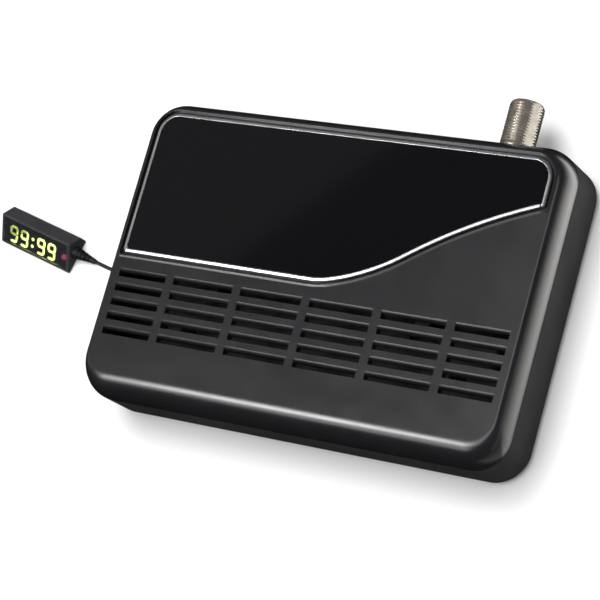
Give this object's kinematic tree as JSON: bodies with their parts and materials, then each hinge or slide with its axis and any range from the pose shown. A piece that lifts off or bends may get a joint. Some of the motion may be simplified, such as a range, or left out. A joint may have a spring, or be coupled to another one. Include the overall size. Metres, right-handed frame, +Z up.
{
  "type": "satellite television receiver",
  "caption": "Flat set-top receiver with a vented lid, gloss plate, threaded aerial socket, rear sockets and a small wedge display on a thin lead.",
  "frame": {"origin": "on the table, under the middle of the box round the receiver, its aerial socket and its display; the lead and its plug are left out of that box", "axes": "+X towards the receiver's right side, as seen from the front; +Y towards its rear, where the sockets are; +Z up"},
  "size_m": [0.185, 0.0994, 0.0227],
  "materials": {
    "lid_plastic": "satin",
    "tray_plastic": "satin",
    "gloss_black": "gloss",
    "silver_trim": "satin metal coating",
    "foot_rubber": "matt",
    "screw_steel": "zinc plated",
    "board_green": "solder mask",
    "tin_plate": "tin plated",
    "nickel": "nickel plated brass",
    "white_insulator": "moulded",
    "black_insulator": "moulded",
    "contact_brass": "gold flashed",
    "chip_resin": "moulded resin",
    "sink_aluminium": "extruded",
    "capacitor_sleeve": "shrunk sleeve",
    "display_plastic": "satin",
    "smoked_window": "smoked acrylic",
    "smoked_lens": "dark lens",
    "lit_green": "lit",
    "lit_red": "lit",
    "lead_rubber": "satin",
    "tie_plastic": "satin"
  },
  "bodies": {
    "receiver": {"bottom_shell": "tray_plastic", "top_cover": "lid_plastic", "gloss_plate": "gloss_black", "silver_edging": "silver_trim", "rubber_feet": "foot_rubber", "case_screws": "screw_steel", "main_board": "board_green", "board_screws": "screw_steel", "tuner_can": "tin_plate", "aerial_barrel": "nickel", "aerial_insulator": "white_insulator", "aerial_contact": "contact_brass", "video_socket": "tin_plate", "video_tongue": "black_insulator", "usb_socket": "tin_plate", "usb_tongue": "white_insulator", "sound_jack": "black_insulator", "power_jack": "black_insulator", "power_pin": "nickel", "display_jack": "black_insulator", "decoder_chip": "chip_resin", "heat_sink": "sink_aluminium", "memory_chips": "chip_resin", "capacitors": "capacitor_sleeve", "crystal_and_coils": "tin_plate"},
    "display": {"display_housing": "display_plastic", "display_base": "display_plastic", "display_window": "smoked_window", "digit_block": "black_insulator", "lit_digits": "lit_green", "status_lamp": "lit_red", "infrared_eye": "smoked_lens", "display_board": "board_green", "display_relief": "lead_rubber", "plug_pin": "nickel", "plug_grip": "lead_rubber", "plug_relief": "lead_rubber", "lead_display_side": "lead_rubber", "lead_plug_side": "lead_rubber", "lead_hank": "lead_rubber", "hank_tie": "tie_plastic"}
  },
  "joints": [
    {"name": "display_plug_pull", "type": "slide", "parent": "receiver", "child": "display", "axis": [-1, 0, 0], "range_m": [0, 0.016]}
  ]
}
